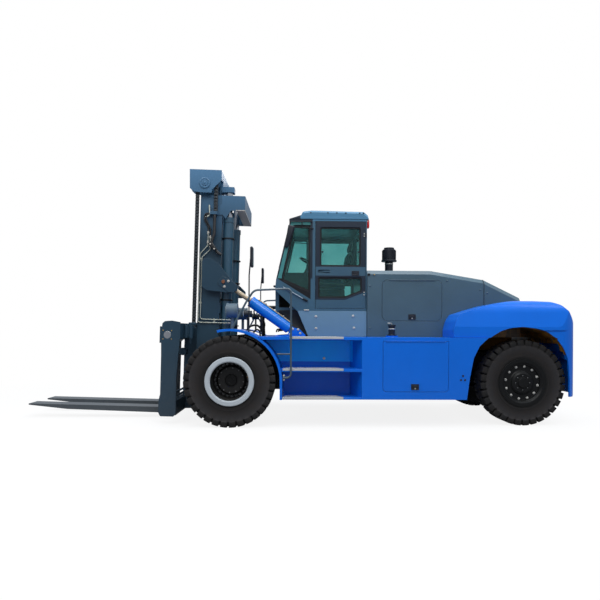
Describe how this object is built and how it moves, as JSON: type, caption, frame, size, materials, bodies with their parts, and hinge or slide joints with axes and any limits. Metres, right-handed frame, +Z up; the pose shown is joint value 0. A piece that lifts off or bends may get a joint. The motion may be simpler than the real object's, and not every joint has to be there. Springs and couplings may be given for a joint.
{
  "type": "heavy diesel forklift truck",
  "caption": "Heavy counterbalanced diesel forklift: tilting two-stage mast with chains, sliding forks, glazed cab, dual drive wheels, steered rear wheels, hinged doors and hatches.",
  "frame": {"origin": "on the ground under the middle of the machine's length and width", "axes": "+X forward to the fork tips, +Y to the left side, +Z up"},
  "size_m": [8.6325, 3.04, 3.9978],
  "materials": {
    "blue_paint": "semi-gloss blue paint",
    "mast_paint": "semi-gloss dark slate-blue paint",
    "hood_paint": "satin dark grey paint",
    "cab_paint": "satin grey-blue paint",
    "roof_paint": "satin grey-blue paint",
    "panel_paint": "satin light grey-blue paint",
    "door_paint": "satin dark navy paint",
    "frame_paint": "satin black chassis paint",
    "axle_paint": "black axle paint",
    "rim_silver": "silver wheel paint",
    "rim_black": "black wheel paint",
    "tyre_rubber": "matt black rubber",
    "tread_plate": "bright chequer plate",
    "tube_grey": "grey powder coat",
    "black_plastic": "black moulded plastic",
    "chrome_rod": "hard chrome",
    "chain_steel": "oiled dark steel",
    "fork_steel": "dark painted forged steel",
    "cab_window": "green tinted safety glass",
    "seat_fabric": "black seat cloth",
    "seat_plastic": "black plastic",
    "hose_rubber": "black hydraulic hose",
    "zinc_pipe": "zinc-plated steel pipe",
    "engine_iron": "cast iron",
    "ballast_paint": "semi-gloss blue paint"
  },
  "bodies": {
    "chassis": {"chassis_frame": "frame_paint", "drive_axle": "axle_paint", "steer_axle": "axle_paint", "left_side_box": "blue_paint", "right_side_box": "blue_paint", "step_treads": "tread_plate", "front_fenders": "blue_paint", "counterweight": "ballast_paint", "engine_hood": "hood_paint", "engine_block": "engine_iron", "pre_cleaner": "black_plastic", "cab_shell": "cab_paint", "cab_roof": "roof_paint", "cab_glass": "cab_window", "cab_base": "panel_paint", "seat_base": "seat_plastic", "seat_pads": "seat_fabric", "driver_console": "seat_plastic", "handrails": "tube_grey", "mirrors": "black_plastic", "work_lamps": "black_plastic", "valve_hoses": "hose_rubber", "steering_wheel": "seat_plastic"},
    "mast": {"mast_pipes": "zinc_pipe", "mast_hoses": "hose_rubber", "outer_mast": "mast_paint", "lift_barrels": "mast_paint", "rear_chains": "chain_steel"},
    "left_box_door": {"left_box_door": "blue_paint"},
    "right_box_door": {"right_box_door": "blue_paint"},
    "left_hood_hatch": {"left_hood_hatch": "hood_paint"},
    "right_hood_hatch": {"right_hood_hatch": "hood_paint"},
    "left_cab_door": {"left_cab_door": "door_paint", "left_door_glass": "cab_window"},
    "right_cab_door": {"right_cab_door": "door_paint", "right_door_glass": "cab_window"},
    "left_knuckle": {"left_knuckle": "axle_paint"},
    "right_knuckle": {"right_knuckle": "axle_paint"},
    "front_left_wheels": {"front_left_tyres": "tyre_rubber", "front_left_rims": "rim_silver"},
    "front_right_wheels": {"front_right_tyres": "tyre_rubber", "front_right_rims": "rim_silver"},
    "rear_left_wheel": {"rear_left_tyre": "tyre_rubber", "rear_left_rim": "rim_black"},
    "rear_right_wheel": {"rear_right_tyre": "tyre_rubber", "rear_right_rim": "rim_black"},
    "inner_mast": {"inner_mast": "mast_paint", "lift_rods": "chrome_rod", "chain_sheaves": "chain_steel"},
    "carriage": {"carriage": "mast_paint", "fork_shafts": "chrome_rod", "front_chains": "chain_steel"},
    "left_fork": {"left_fork": "fork_steel"},
    "right_fork": {"right_fork": "fork_steel"},
    "left_tilt_barrel": {"left_tilt_barrel": "blue_paint"},
    "right_tilt_barrel": {"right_tilt_barrel": "blue_paint"},
    "left_tilt_rod": {"left_tilt_rod": "chrome_rod"},
    "right_tilt_rod": {"right_tilt_rod": "chrome_rod"}
  },
  "joints": [
    {"name": "mast_tilt", "type": "hinge", "parent": "chassis", "child": "mast", "pos_m": [1.1858, 0, 0.56], "axis": [0, 1, 0], "range_deg": [-8.6, 7.4]},
    {"name": "lift", "type": "slide", "parent": "mast", "child": "inner_mast", "axis": [-0.0244, 0, 0.9997], "range_m": [0, 1.8], "deforming": ["rear_chains"]},
    {"name": "carriage_lift", "type": "slide", "parent": "inner_mast", "child": "carriage", "axis": [-0.0244, 0, 0.9997], "range_m": [0, 1.8], "deforming": ["front_chains"]},
    {"name": "left_fork_spread", "type": "slide", "parent": "carriage", "child": "left_fork", "axis": [0, 1, 0], "range_m": [-0.14, 0.64]},
    {"name": "left_tilt_swing", "type": "hinge", "parent": "chassis", "child": "left_tilt_barrel", "pos_m": [-0.0142, 0.712, 1.4], "axis": [0, 1, 0], "range_deg": [-5.9, 5.1]},
    {"name": "left_tilt_stroke", "type": "slide", "parent": "left_tilt_barrel", "child": "left_tilt_rod", "axis": [0.819, 0, 0.5738], "range_m": [-0.215, 0.185]},
    {"name": "left_steer", "type": "hinge", "parent": "chassis", "child": "left_knuckle", "pos_m": [-3.4942, 0.87, 0.65], "axis": [0, 0, 1], "range_deg": [-60, 60]},
    {"name": "rear_left_spin", "type": "hinge", "parent": "left_knuckle", "child": "rear_left_wheel", "pos_m": [-3.4942, 1.125, 0.65], "axis": [0, 1, 0], "continuous": true},
    {"name": "front_left_spin", "type": "hinge", "parent": "chassis", "child": "front_left_wheels", "pos_m": [0.9458, 1.116, 0.675], "axis": [0, 1, 0], "continuous": true},
    {"name": "left_cab_door_hinge", "type": "hinge", "parent": "chassis", "child": "left_cab_door", "pos_m": [-1.1502, 0.79, 2.4], "axis": [0, 0, 1], "range_deg": [0, 85]},
    {"name": "left_box_door_hinge", "type": "hinge", "parent": "chassis", "child": "left_box_door", "pos_m": [-1.8092, 1.486, 1.28], "axis": [1, 0, 0], "range_deg": [0, 90]},
    {"name": "left_hatch_hinge", "type": "hinge", "parent": "chassis", "child": "left_hood_hatch", "pos_m": [-1.8892, 0.806, 2.248], "axis": [1, 0, 0], "range_deg": [0, 80]},
    {"name": "right_fork_spread", "type": "slide", "parent": "carriage", "child": "right_fork", "axis": [0, -1, 0], "range_m": [-0.14, 0.64]},
    {"name": "right_tilt_swing", "type": "hinge", "parent": "chassis", "child": "right_tilt_barrel", "pos_m": [-0.0142, -0.712, 1.4], "axis": [0, 1, 0], "range_deg": [-5.9, 5.1]},
    {"name": "right_tilt_stroke", "type": "slide", "parent": "right_tilt_barrel", "child": "right_tilt_rod", "axis": [0.819, 0, 0.5738], "range_m": [-0.215, 0.185]},
    {"name": "right_steer", "type": "hinge", "parent": "chassis", "child": "right_knuckle", "pos_m": [-3.4942, -0.87, 0.65], "axis": [0, 0, 1], "range_deg": [-60, 60]},
    {"name": "rear_right_spin", "type": "hinge", "parent": "right_knuckle", "child": "rear_right_wheel", "pos_m": [-3.4942, -1.125, 0.65], "axis": [0, 1, 0], "continuous": true},
    {"name": "front_right_spin", "type": "hinge", "parent": "chassis", "child": "front_right_wheels", "pos_m": [0.9458, -1.116, 0.675], "axis": [0, 1, 0], "continuous": true},
    {"name": "right_cab_door_hinge", "type": "hinge", "parent": "chassis", "child": "right_cab_door", "pos_m": [-1.1502, -0.79, 2.4], "axis": [0, 0, -1], "range_deg": [0, 85]},
    {"name": "right_box_door_hinge", "type": "hinge", "parent": "chassis", "child": "right_box_door", "pos_m": [-1.8092, -1.486, 1.28], "axis": [-1, 0, 0], "range_deg": [0, 90]},
    {"name": "right_hatch_hinge", "type": "hinge", "parent": "chassis", "child": "right_hood_hatch", "pos_m": [-1.8892, -0.806, 2.248], "axis": [-1, 0, 0], "range_deg": [0, 80]}
  ],
  "couplings": [
    {"joint": "carriage_lift", "follows": "lift", "ratio": 1},
    {"joint": "right_steer", "follows": "left_steer", "ratio": 1},
    {"joint": "left_tilt_swing", "follows": "mast_tilt", "ratio": 0.655},
    {"joint": "left_tilt_stroke", "follows": "mast_tilt", "m_per_rad": 1.385},
    {"joint": "right_tilt_swing", "follows": "mast_tilt", "ratio": 0.655},
    {"joint": "right_tilt_stroke", "follows": "mast_tilt", "m_per_rad": 1.385}
  ]
}
